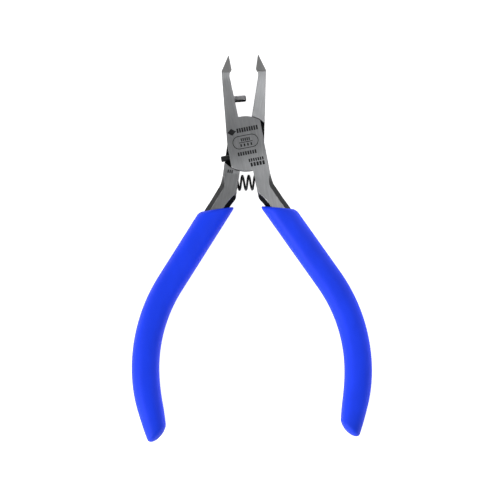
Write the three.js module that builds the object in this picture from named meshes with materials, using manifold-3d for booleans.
// Sprue nippers: two steel levers in a lap joint, each with a slim jaw and a handle in a soft grip.
// Millimetres, +Z up. The tool lies flat on its grips, jaws towards +Y, handles sprung open.
// Each lever is drawn upright, with the pivot axis as the origin and the jaw towards +Y, and
// is then swung open. The rear lever is the front one turned over about Y.

import * as THREE from 'three';
import { mergeVertices } from 'three/addons/utils/BufferGeometryUtils.js';
import Module from 'manifold-3d';

const wasm = await Module();
wasm.setup();

// Driving dimensions
const RAD = Math.PI / 180;
const OPEN_ANGLE = 9.4 * RAD; // each lever's lean when fully open; the blades meet at 0.45
const PIVOT_Y = 30; // puts the middle of the tool's length at Y = 0
const GRIP_HALF_THICKNESS = 4.7;
const JOINT_HALF_THICKNESS = 3.8;
const LAP_GAP = 0.3; // between the two lap plates
const FIT_GAP = 0.2; // round fixed pins and screws
const GRIP_GAP = 0.3; // between a grip and the tang inside it
const PLATE_RADIUS = 8;
const POCKET_RADIUS = 8.15; // shoulder that the other lever's plate turns in
const PLATE_HALF_WIDTH = 5.37;

// Jaw
const JAW_TIP_Y = 26.4;
const JAW_TIP_WIDTH = 0.35;
const JAW_CORNER_X = -2.92; // outer corner, beside the lower border of the ground facet
const JAW_CORNER_Y = 22.05;
const EDGE_X = 0.13; // cutting edge at its heel
const EDGE_TIP_X = 0.16;
const EDGE_HEEL_Y = 22.2;
const JAW_TIP_SLANT = 0.2; // how much lower the outer corner of the blunt tip is
const JAW_FLARE_X = -3.08; // outer side, just below its corner
const JAW_FLARE_Y = 20.8;
const JAW_ROOT_X = -5.2; // outer side, where it runs into the plate
const JAW_ROOT_Y = 2;
const PLATE_SIDE_Y = 0.6; // where the plate's straight side starts
const JAW_INNER_X = -0.65; // inner face at the lap joint
const NECK_X = -0.87; // inner face below the blade
const NECK_Y = 20.2;
const HEEL_FROM_X = -0.62; // where the inner face starts to round into the heel
const HEEL_FROM_Y = 21.2;
const HEEL_ROUND = 0.5;
const JAW_TAPER_START_Y = 8.25; // where the jaw's front face starts to curve down
const FACET_START_Y = 21.65; // lower border of the ground facet
const FACET_SLOPE = 0.52;
const FACET_Z = 3.1;
const FACET_LENGTH = 8; // more than the jaw has left above the border
const FACET_LEAD = 0.5; // how far below the border the facet's cut starts
const JAW_BACK_END_Y = 27.4; // where the line of the jaw's tapered back ends, past the tip
const JAW_BACK_END_Z = -1.6;
const RELIEF_ANGLE = 12 * RAD;
const RELIEF_START_Y = 20.6; // clear of the heel, below the blade
const RELIEF_DEPTH = 7;
const CLEAR = 4; // how far a cutting shape reaches past what it cuts

// Tang
const TANG_INNER_X = 0.65;
const TANG_START_Y = -9.5;
const TANG_BAND = 1.4; // width of the sloped bands along the tang's edges
const CORE_END_BAND = 1;
const TANG_HALF_WIDTH = 2.9;
const TANG_HALF_THICKNESS = 3.5;
const TANG_ROOT = 0.3; // how far it reaches into the head
const CORE_END_HALF_WIDTH = 2.2;
const CORE_END_HALF_THICKNESS = 2.4;
const EDGE_LAND = 0.3; // half height of the upright strip left between two sloped bands

// Handle centre line: straight, then an arc, then straight
const HANDLE_ANGLE = 24.4 * RAD; // from -Y, leaning outwards
const HANDLE_END_ANGLE = -22 * RAD; // leaning back inwards
const HANDLE_RADIUS = 46.2;
const HANDLE_ARC_X = -25.75;
const HANDLE_ARC_Y = -62.5;
const HANDLE_STRAIGHT = 25.1; // from the grip's mouth to the arc

// Grip
const GRIP_HALF_WIDTH = 4.1;
const GRIP_END_HALF_WIDTH = 3.25;
const GRIP_NARROWS_FROM = 50;
const GRIP_NARROWING_POWER = 3; // a higher power keeps the width for longer
const GRIP_CAP_START = 69.6;
const GRIP_CAP_LENGTH = 2.4;
const GRIP_SECTION_POWER = 2.4; // 2 is an ellipse, and more is squarer
const GRIP_SIDES = 16;
const MOUTH_SLANT = 0.86;
const MOUTH_SLANT_RUN = 16;
const END_SLANT = 0.5;
const END_SLANT_FROM = 50;
const CORE_END = 60;

// Pivot screw
const SHANK_RADIUS = 2.5;
const THREAD_RADIUS = 2;
const THREAD_DEPTH = 2.4;
const HEAD_RADIUS = 3.5;
const HEAD_RECESS = 0.2;
const HEAD_CONE = 1.4;
const SLOT_WIDTH = 0.9;
const SLOT_DEPTH = 0.8;

// Jaw stop screw, drawn in the closed pose
const STOP_SCREW_RADIUS = 1;
const STOP_SCREW_FROM = new THREE.Vector3(-3.75, 13.77, 0.2);
const STOP_SCREW_TO = new THREE.Vector3(2.59, 13.05, 0.2);
const SEAT_RADIUS = 1.3;
const SEAT_GAP = -0.05; // from the upright screw, and 0.15 when the blades meet

// Opening stop pin, drawn in the closed pose
const STOP_PIN_RADIUS = 0.85;
const STOP_PIN_Y = -3.1;
const STOP_PIN_Z = 1.95;
const STOP_PIN_OUT = 2.55;
const STOP_PIN_IN = 2.4;

// Return spring, drawn in the open pose
const SPRING_Y = -11.3;
const SPRING_RADIUS = 2.05; // to the middle of the wire
const WIRE_RADIUS = 0.33;
const SPRING_PITCH = 1.85;
const END_PITCH = 0.72;
const SPRING_HALF_LENGTH = 4.55;
const SPRING_LOW_X = -0.31; // where a turn passes its lowest point
const POCKET_BORE_RADIUS = 2.7;
const POCKET_FLOOR_X = 5.1;
const POCKET_FROM_X = -1; // clear of the tang's inner face

const FULL_TURN = 2 * Math.PI;
const ROUND_SEGMENTS = 24;
const ARC_SEGMENTS = 12;

// A closed mesh as a solid that can be joined and cut
function solidOf(geometry) {
  geometry.deleteAttribute('normal');
  geometry.deleteAttribute('uv');
  const merged = mergeVertices(geometry, 1e-5);
  return new wasm.Manifold(new wasm.Mesh({
    numProp: 3,
    vertProperties: merged.attributes.position.array,
    triVerts: new Uint32Array(merged.index.array),
  }));
}

function geometryOf(solid) {
  const mesh = solid.getMesh();
  const geometry = new THREE.BufferGeometry();
  geometry.setAttribute('position', new THREE.BufferAttribute(mesh.vertProperties, 3));
  geometry.setIndex(new THREE.BufferAttribute(mesh.triVerts, 1));
  geometry.computeVertexNormals();
  return geometry;
}

// A flat outline raised from one height to another
function prism(shape, low, high, curveSegments = ARC_SEGMENTS) {
  const geometry = new THREE.ExtrudeGeometry(shape, {
    depth: high - low,
    bevelEnabled: false,
    curveSegments,
  });
  return solidOf(geometry.translate(0, 0, low));
}

function polygon(points) {
  return new THREE.Shape(points.map(([x, y]) => new THREE.Vector2(x, y)));
}

// A profile of [distance along, radius] pairs turned about an axis from one point to another
function turned(profile, from, to) {
  const along = new THREE.Vector3().subVectors(to, from).normalize();
  const points = profile.map(([distance, radius]) => new THREE.Vector2(radius, distance));
  const geometry = new THREE.LatheGeometry(points, ROUND_SEGMENTS);
  const swing = new THREE.Quaternion().setFromUnitVectors(new THREE.Vector3(0, 1, 0), along);
  return solidOf(geometry.applyQuaternion(swing).translate(from.x, from.y, from.z));
}

function rod(radius, from, to) {
  const length = from.distanceTo(to);
  return turned([[0, 0], [0, radius], [length, radius], [length, 0]], from, to);
}

// A closed skin through rings that have the same number of corners, with a flat cap at each end
function loft(rings) {
  const sides = rings[0].length;
  const index = [];
  for (let ring = 0; ring + 1 < rings.length; ring++) {
    for (let side = 0; side < sides; side++) {
      const next = (side + 1) % sides;
      const a = ring * sides + side;
      const b = ring * sides + next;
      index.push(a, b, a + sides, b, b + sides, a + sides);
    }
  }
  const last = (rings.length - 1) * sides;
  for (let side = 1; side + 1 < sides; side++) {
    index.push(0, side + 1, side, last, last + side, last + side + 1);
  }
  const geometry = new THREE.BufferGeometry().setFromPoints(rings.flat());
  geometry.setIndex(index);
  return solidOf(geometry);
}

// Centre of the handle and its outward direction, at a distance from the grip's mouth
function handleAt(distance) {
  const arcLength = HANDLE_RADIUS * (HANDLE_ANGLE - HANDLE_END_ANGLE);
  const onArc = THREE.MathUtils.clamp(distance - HANDLE_STRAIGHT, 0, arcLength);
  const beyond = distance - HANDLE_STRAIGHT - onArc;
  const angle = HANDLE_ANGLE - onArc / HANDLE_RADIUS;
  const outward = new THREE.Vector2(Math.cos(angle), Math.sin(angle));
  const along = new THREE.Vector2(Math.sin(angle), -Math.cos(angle));
  const centre = new THREE.Vector2(HANDLE_ARC_X, HANDLE_ARC_Y)
    .addScaledVector(outward, HANDLE_RADIUS)
    .addScaledVector(along, beyond);
  return { centre, outward, along };
}

// One ring of a handle: slant moves the outer side further along than the inner side
function handleRing(distance, slant, section) {
  const { centre, outward, along } = handleAt(distance);
  return section.map(([across, up]) => new THREE.Vector3(
    centre.x + outward.x * across + along.x * slant * across,
    centre.y + outward.y * across + along.y * slant * across,
    up,
  ));
}

// Section of a grip: a rounded oval whose flats touch the given half sizes
function ovalSection(halfWidth, halfThickness) {
  const power = 2 / GRIP_SECTION_POWER;
  const flat = Math.cos(Math.PI / GRIP_SIDES) ** power;
  const round = (value) => Math.sign(value) * Math.abs(value) ** power / flat;
  return Array.from({ length: GRIP_SIDES }, (_, side) => {
    const angle = (side + 0.5) * FULL_TURN / GRIP_SIDES;
    return [halfWidth * round(Math.cos(angle)), halfThickness * round(Math.sin(angle))];
  });
}

// Section of a forged tang from its inner to its outer edge, with a sloped band on each edge
function tangSection(inner, outer, halfThickness, innerBand, outerBand) {
  return [
    [outer, -EDGE_LAND],
    [outer, EDGE_LAND],
    [outer - outerBand, halfThickness],
    [inner + innerBand, halfThickness],
    [inner, EDGE_LAND],
    [inner, -EDGE_LAND],
    [inner + innerBand, -halfThickness],
    [outer - outerBand, -halfThickness],
  ];
}

// A ring of the bare tang, between a point on its inner edge and one on its outer edge
function tangRing([innerX, innerY], [outerX, outerY], halfThickness, innerBand, outerBand) {
  const width = Math.hypot(outerX - innerX, outerY - innerY);
  return tangSection(0, width, halfThickness, innerBand, outerBand).map(([across, up]) => {
    const share = across / width;
    return new THREE.Vector3(
      THREE.MathUtils.lerp(innerX, outerX, share),
      THREE.MathUtils.lerp(innerY, outerY, share),
      up,
    );
  });
}

// The part of the tang inside the grip, or with a margin the hole that it fills
function coreRings(from, to, margin) {
  const steps = 12;
  return Array.from({ length: steps + 1 }, (_, step) => {
    const distance = THREE.MathUtils.lerp(from, to, step / steps);
    const share = Math.max(distance, 0) / CORE_END;
    const halfWidth = THREE.MathUtils.lerp(TANG_HALF_WIDTH, CORE_END_HALF_WIDTH, share) + margin;
    const halfThickness = margin
      + THREE.MathUtils.lerp(TANG_HALF_THICKNESS, CORE_END_HALF_THICKNESS, share);
    const band = THREE.MathUtils.lerp(TANG_BAND, CORE_END_BAND, share);
    return handleRing(distance, 0, tangSection(-halfWidth, halfWidth, halfThickness, band, band));
  });
}

// Rings of a loft with smooth ones added between them
function smoothRings(rings, stepsPerRing) {
  const steps = (rings.length - 1) * stepsPerRing;
  const paths = rings[0].map((_, corner) => (
    new THREE.CatmullRomCurve3(rings.map((ring) => ring[corner]), false, 'centripetal')
  ));
  return Array.from({ length: steps + 1 }, (_, step) => (
    paths.map((path) => path.getPoint(step / steps))
  ));
}

// The tang grows out of the head's square end, bends outwards and goes on into the grip
function tang() {
  const top = JOINT_HALF_THICKNESS;
  const root = tangRing(
    [TANG_INNER_X + TANG_ROOT, TANG_START_Y + TANG_ROOT],
    [PLATE_HALF_WIDTH - TANG_ROOT, TANG_START_Y + TANG_ROOT],
    top - TANG_ROOT,
    0,
    0,
  );
  const bend = [
    tangRing([TANG_INNER_X, TANG_START_Y], [PLATE_HALF_WIDTH, TANG_START_Y], top, 0, 0),
    tangRing([TANG_INNER_X, -11.4], [5.5, -11.2], 3.785, 0.02, 0.8),
    tangRing([TANG_INNER_X, -13.4], [5.75, -12.9], 3.74, 0.1, 1.3),
    tangRing([0.7, -14.9], [6.25, -14.1], 3.69, 0.4, TANG_BAND),
    tangRing([0.76, -16.3], [6.9, -15.6], 3.64, 1.3, TANG_BAND),
    tangRing([1.85, -18.3], [7.75, -17.6], 3.57, TANG_BAND, TANG_BAND),
  ];
  const core = coreRings(0, CORE_END, 0);
  return loft([root, ...smoothRings([...bend, core[0]], 6), ...core.slice(1)]);
}

// Plan of the jaw, the lap plate and the top of the tang
function headOutline() {
  const corner = Math.acos(PLATE_HALF_WIDTH / PLATE_RADIUS);
  const tangSide = Math.acos(TANG_INNER_X / PLATE_RADIUS);
  const jawSide = Math.acos(-JAW_INNER_X / PLATE_RADIUS);
  const shape = new THREE.Shape();
  shape.moveTo(EDGE_TIP_X, JAW_TIP_Y);
  shape.lineTo(EDGE_TIP_X - JAW_TIP_WIDTH, JAW_TIP_Y - JAW_TIP_SLANT);
  shape.lineTo(JAW_CORNER_X, JAW_CORNER_Y);
  shape.lineTo(JAW_FLARE_X, JAW_FLARE_Y);
  shape.lineTo(JAW_ROOT_X, JAW_ROOT_Y);
  shape.lineTo(-PLATE_HALF_WIDTH, PLATE_SIDE_Y);
  shape.absarc(0, 0, PLATE_RADIUS, Math.PI + corner, FULL_TURN - tangSide);
  shape.lineTo(TANG_INNER_X, TANG_START_Y);
  shape.lineTo(PLATE_HALF_WIDTH, TANG_START_Y);
  shape.absarc(0, 0, PLATE_RADIUS, corner, Math.PI - jawSide);
  shape.lineTo(NECK_X, NECK_Y);
  shape.lineTo(HEEL_FROM_X, HEEL_FROM_Y);
  shape.quadraticCurveTo(EDGE_X, EDGE_HEEL_Y - HEEL_ROUND, EDGE_X, EDGE_HEEL_Y);
  return shape;
}

// Side view of the head, from the tang to the tip, facing the way the blade facet faces
function headProfile(facetSide) {
  const top = JOINT_HALF_THICKNESS;
  const taper = FACET_START_Y - JAW_TAPER_START_Y;
  const taperSteps = 6;
  const curve = Array.from({ length: taperSteps + 1 }, (_, step) => {
    const share = 1 - step / taperSteps;
    return [JAW_TAPER_START_Y + taper * share, top - (top - FACET_Z) * share ** 2];
  });
  const points = [
    [TANG_START_Y - CLEAR, -top],
    [JAW_TAPER_START_Y, -top],
    [JAW_BACK_END_Y, JAW_BACK_END_Z],
    [JAW_BACK_END_Y, FACET_Z],
    ...curve,
    [TANG_START_Y - CLEAR, top],
  ];
  return polygon(points.map(([along, up]) => [along, up * facetSide]));
}

// Turns a prism drawn in the side view (Y across, Z up) so that it runs along X
function sidePrism(shape, halfLength) {
  const geometry = new THREE.ExtrudeGeometry(shape, { depth: 2 * halfLength, bevelEnabled: false });
  const standing = new THREE.Matrix4().makeBasis(
    new THREE.Vector3(0, 1, 0),
    new THREE.Vector3(0, 0, 1),
    new THREE.Vector3(1, 0, 0),
  );
  return geometry.translate(0, 0, -halfLength).applyMatrix4(standing);
}

// What grinding the blade facet takes off: both facets are one plane when the tool is open
function facetCut(facetSide) {
  const startY = FACET_START_Y * Math.cos(OPEN_ANGLE) - FACET_LEAD;
  const wedge = polygon([
    [startY, FACET_Z * facetSide],
    [startY + FACET_LENGTH, (FACET_Z - FACET_SLOPE * FACET_LENGTH) * facetSide],
    [startY + FACET_LENGTH, (FACET_Z + CLEAR) * facetSide],
    [startY, (FACET_Z + CLEAR) * facetSide],
  ]);
  return solidOf(sidePrism(wedge, 2 * PLATE_RADIUS).rotateZ(-OPEN_ANGLE));
}

// Clearance behind the cutting edge, which follows the slope of the facet
function reliefCut(facetSide) {
  const startZ = FACET_Z - FACET_SLOPE * (RELIEF_START_Y - FACET_START_Y);
  const wedge = polygon([
    [EDGE_X, CLEAR],
    [EDGE_X, 0],
    [EDGE_X - RELIEF_DEPTH * Math.tan(RELIEF_ANGLE), -RELIEF_DEPTH],
    [CLEAR, -RELIEF_DEPTH],
    [CLEAR, CLEAR],
  ].map(([across, up]) => [across, up * facetSide]));
  const geometry = new THREE.ExtrudeGeometry(wedge, {
    depth: FACET_LENGTH,
    bevelEnabled: false,
  });
  const lying = new THREE.Matrix4().makeBasis(
    new THREE.Vector3(1, 0, 0),
    new THREE.Vector3(0, 0, 1),
    new THREE.Vector3(0, -1, FACET_SLOPE * facetSide),
  );
  const endY = RELIEF_START_Y + FACET_LENGTH;
  const endZ = (startZ - FACET_SLOPE * FACET_LENGTH) * facetSide;
  return solidOf(geometry.applyMatrix4(lying).translate(0, endY, endZ));
}

// Blind pocket in the tang that holds one end of the return spring
function springPocket() {
  const swing = (x) => new THREE.Vector3(x, SPRING_Y, 0)
    .applyAxisAngle(new THREE.Vector3(0, 0, 1), -OPEN_ANGLE);
  return rod(POCKET_BORE_RADIUS, swing(POCKET_FROM_X), swing(POCKET_FLOOR_X));
}

// A lever without its holes. The lap plate is its upper half, and facetSide says which way
// the blade facet faces.
function leverBlank(facetSide) {
  const top = JOINT_HALF_THICKNESS;
  const half = LAP_GAP / 2;
  const turningRoom = new THREE.Shape().absarc(0, 0, POCKET_RADIUS, 0, FULL_TURN);
  return prism(headOutline(), -top - CLEAR, top + CLEAR)
    .intersect(solidOf(sidePrism(headProfile(facetSide), 2 * PLATE_RADIUS)))
    .subtract(facetCut(facetSide))
    .subtract(reliefCut(facetSide))
    .add(tang())
    .subtract(prism(turningRoom, -top - CLEAR, half, 2 * ROUND_SEGMENTS))
    .subtract(springPocket());
}

function frontLever() {
  const along = new THREE.Vector3().subVectors(STOP_SCREW_TO, STOP_SCREW_FROM).normalize();
  const screwHole = rod(
    STOP_SCREW_RADIUS + FIT_GAP,
    STOP_SCREW_FROM.clone().addScaledVector(along, -CLEAR),
    STOP_SCREW_TO,
  );
  const pinHole = rod(
    STOP_PIN_RADIUS + FIT_GAP,
    new THREE.Vector3(-PLATE_HALF_WIDTH - CLEAR, STOP_PIN_Y, STOP_PIN_Z),
    new THREE.Vector3(-PLATE_HALF_WIDTH + STOP_PIN_IN + FIT_GAP, STOP_PIN_Y, STOP_PIN_Z),
  );
  const threadHole = rod(
    THREAD_RADIUS + FIT_GAP,
    new THREE.Vector3(0, 0, -CLEAR),
    new THREE.Vector3(0, 0, THREAD_DEPTH + FIT_GAP),
  );
  return leverBlank(1).subtract(screwHole).subtract(pinHole).subtract(threadHole);
}

// The rear lever in its own frame, where its lap plate and the pivot screw's head are on top
function rearLever() {
  const flip = (point) => new THREE.Vector3(-point.x, point.y, -point.z);
  const along = new THREE.Vector3().subVectors(STOP_SCREW_TO, STOP_SCREW_FROM).normalize();
  const seat = rod(
    SEAT_RADIUS,
    flip(STOP_SCREW_TO.clone().addScaledVector(along, SEAT_GAP)),
    flip(STOP_SCREW_TO.clone().addScaledVector(along, -CLEAR)),
  );
  const headHeight = CLEAR + JOINT_HALF_THICKNESS - HEAD_RECESS;
  const bore = turned([
    [0, 0],
    [0, SHANK_RADIUS + FIT_GAP],
    [headHeight - HEAD_CONE, SHANK_RADIUS + FIT_GAP],
    [headHeight, HEAD_RADIUS + FIT_GAP],
    [headHeight + CLEAR, HEAD_RADIUS + FIT_GAP],
    [headHeight + CLEAR, 0],
  ], new THREE.Vector3(0, 0, -CLEAR), new THREE.Vector3(0, 0, 0));
  return leverBlank(-1).subtract(seat).subtract(bore);
}

// Slotted countersunk screw through the rear plate into the front one, head down
function pivotScrew() {
  const head = HEAD_RECESS - JOINT_HALF_THICKNESS;
  const start = new THREE.Vector3(0, 0, head);
  const bearing = LAP_GAP / 2 - head;
  const chamfer = 0.4;
  const slotSide = SLOT_WIDTH / 2;
  const slot = polygon([[-CLEAR, -slotSide], [CLEAR, -slotSide], [CLEAR, slotSide], [-CLEAR, slotSide]]);
  return turned([
    [0, 0],
    [0, HEAD_RADIUS],
    [HEAD_CONE, SHANK_RADIUS],
    [bearing - LAP_GAP, SHANK_RADIUS],
    [bearing - LAP_GAP, THREAD_RADIUS],
    [THREAD_DEPTH - head - chamfer, THREAD_RADIUS],
    [THREAD_DEPTH - head, THREAD_RADIUS - chamfer],
    [THREAD_DEPTH - head, 0],
  ], start, new THREE.Vector3(0, 0, 0)).subtract(prism(slot, head - CLEAR, head + SLOT_DEPTH));
}

// Set screw across the front lever's jaw, with a driver socket in its outer end
function jawStopScrew() {
  const length = STOP_SCREW_FROM.distanceTo(STOP_SCREW_TO);
  const chamfer = 0.3;
  const socketRadius = 0.5;
  const socketDepth = 1;
  return turned([
    [socketDepth, 0],
    [socketDepth, socketRadius],
    [0, socketRadius],
    [0, STOP_SCREW_RADIUS - chamfer],
    [chamfer, STOP_SCREW_RADIUS],
    [length - chamfer, STOP_SCREW_RADIUS],
    [length, STOP_SCREW_RADIUS - chamfer],
    [length, 0],
  ], STOP_SCREW_FROM, STOP_SCREW_TO);
}

// Pin in the edge of the front plate: the rear lever's shoulder comes to rest on it
function openingStopPin() {
  const from = new THREE.Vector3(-PLATE_HALF_WIDTH + STOP_PIN_IN, STOP_PIN_Y, STOP_PIN_Z);
  const to = new THREE.Vector3(-PLATE_HALF_WIDTH - STOP_PIN_OUT, STOP_PIN_Y, STOP_PIN_Z);
  const length = STOP_PIN_IN + STOP_PIN_OUT;
  const chamfer = 0.2;
  return turned([
    [0, 0],
    [0, STOP_PIN_RADIUS],
    [length - chamfer, STOP_PIN_RADIUS],
    [length, STOP_PIN_RADIUS - chamfer],
    [length, 0],
  ], from, to);
}

// Coil of the return spring: one close turn at each end and open turns between them
class Coil extends THREE.Curve {
  constructor() {
    super();
    this.openLength = 2 * (SPRING_HALF_LENGTH - END_PITCH);
    this.turns = this.openLength / SPRING_PITCH + 2;
  }

  getPoint(share, target = new THREE.Vector3()) {
    const turn = share * this.turns;
    const openTurns = THREE.MathUtils.clamp(turn - 1, 0, this.turns - 2);
    const endTurns = turn - openTurns;
    const x = endTurns * END_PITCH + openTurns * SPRING_PITCH - SPRING_HALF_LENGTH;
    const middleTurn = this.turns / 2;
    const angle = (turn - middleTurn - SPRING_LOW_X / SPRING_PITCH) * FULL_TURN;
    return target.set(x, -SPRING_RADIUS * Math.cos(angle), SPRING_RADIUS * Math.sin(angle));
  }
}

function returnSpring() {
  const stepsPerTurn = 20;
  const coil = new Coil();
  const wire = new THREE.Shape().absarc(0, 0, WIRE_RADIUS, 0, FULL_TURN);
  const geometry = new THREE.ExtrudeGeometry(wire, {
    steps: Math.round(coil.turns * stepsPerTurn),
    curveSegments: 4,
    extrudePath: coil,
  });
  return solidOf(geometry);
}

// Half width of the grip at a distance from its mouth
function gripHalfWidth(distance) {
  const share = Math.max(distance - GRIP_NARROWS_FROM, 0) / (GRIP_CAP_START - GRIP_NARROWS_FROM);
  return THREE.MathUtils.lerp(GRIP_HALF_WIDTH, GRIP_END_HALF_WIDTH, share ** GRIP_NARROWING_POWER);
}

function gripSlant(distance) {
  const mouth = Math.max(1 - distance / MOUTH_SLANT_RUN, 0);
  const end = Math.max(distance - END_SLANT_FROM, 0) / (GRIP_CAP_START - END_SLANT_FROM);
  return MOUTH_SLANT * mouth ** 2 + END_SLANT * end ** 2;
}

// Soft sleeve with a slanted open mouth and a rounded closed end
function grip() {
  const ring = (distance, scale) => handleRing(distance, gripSlant(distance), ovalSection(
    gripHalfWidth(distance) * scale,
    GRIP_HALF_THICKNESS * scale,
  ));
  const lipEnd = 0.1;
  const lip = [ring(-0.8, 0.88), ring(-0.5, 0.96), ring(lipEnd, 1)];
  const bodySteps = 18;
  const body = Array.from({ length: bodySteps }, (_, step) => (
    ring(THREE.MathUtils.lerp(lipEnd, GRIP_CAP_START, (step + 1) / bodySteps), 1)
  ));
  const capSteps = 6;
  const capFlat = 0.4; // share of a step left as a flat end
  const cap = Array.from({ length: capSteps }, (_, step) => {
    const angle = (step + 1) / (capSteps + capFlat) * Math.PI / 2;
    const narrowing = Math.cos(angle);
    const reach = GRIP_CAP_LENGTH * Math.sin(angle);
    const section = ovalSection(GRIP_END_HALF_WIDTH * narrowing, GRIP_HALF_THICKNESS * narrowing);
    return handleRing(GRIP_CAP_START + reach, END_SLANT, section);
  });
  const hole = loft(coreRings(-2 * CLEAR, CORE_END + GRIP_GAP, GRIP_GAP));
  return loft([...lip, ...body, ...cap]).subtract(hole);
}

function named(name, solid, color, roughness, metalness) {
  const material = new THREE.MeshStandardMaterial({ color, roughness, metalness });
  const mesh = new THREE.Mesh(geometryOf(solid), material);
  mesh.name = name;
  return mesh;
}

const BRIGHT_STEEL = 0x8f9092;
const BLACK_STEEL = 0x1d1e20;
const DARK_STEEL = 0x5c5d5f;
const GRIP_BLUE = 0x2441e6;

const frontHalf = new THREE.Group();
frontHalf.add(
  named('front_lever', frontLever(), BRIGHT_STEEL, 0.38, 0.9),
  named('jaw_stop_screw', jawStopScrew(), DARK_STEEL, 0.4, 0.9),
  named('opening_stop_pin', openingStopPin(), BLACK_STEEL, 0.5, 0.8),
  named('grip_right', grip(), GRIP_BLUE, 0.55, 0),
);
frontHalf.rotation.z = OPEN_ANGLE;

const rearFlipped = new THREE.Group();
rearFlipped.add(
  named('rear_lever', rearLever(), BRIGHT_STEEL, 0.38, 0.9),
  named('grip_left', grip(), GRIP_BLUE, 0.55, 0),
);
rearFlipped.rotation.y = Math.PI;
const rearHalf = new THREE.Group();
rearHalf.add(rearFlipped);
rearHalf.rotation.z = -OPEN_ANGLE;

const spring = named('return_spring', returnSpring(), BLACK_STEEL, 0.45, 0.8);
spring.position.y = SPRING_Y;

const group = new THREE.Group();
group.name = 'sprue_nippers';
group.add(
  frontHalf,
  rearHalf,
  named('pivot_screw', pivotScrew(), DARK_STEEL, 0.4, 0.9),
  spring,
);
group.position.set(0, PIVOT_Y, GRIP_HALF_THICKNESS);

export default group;
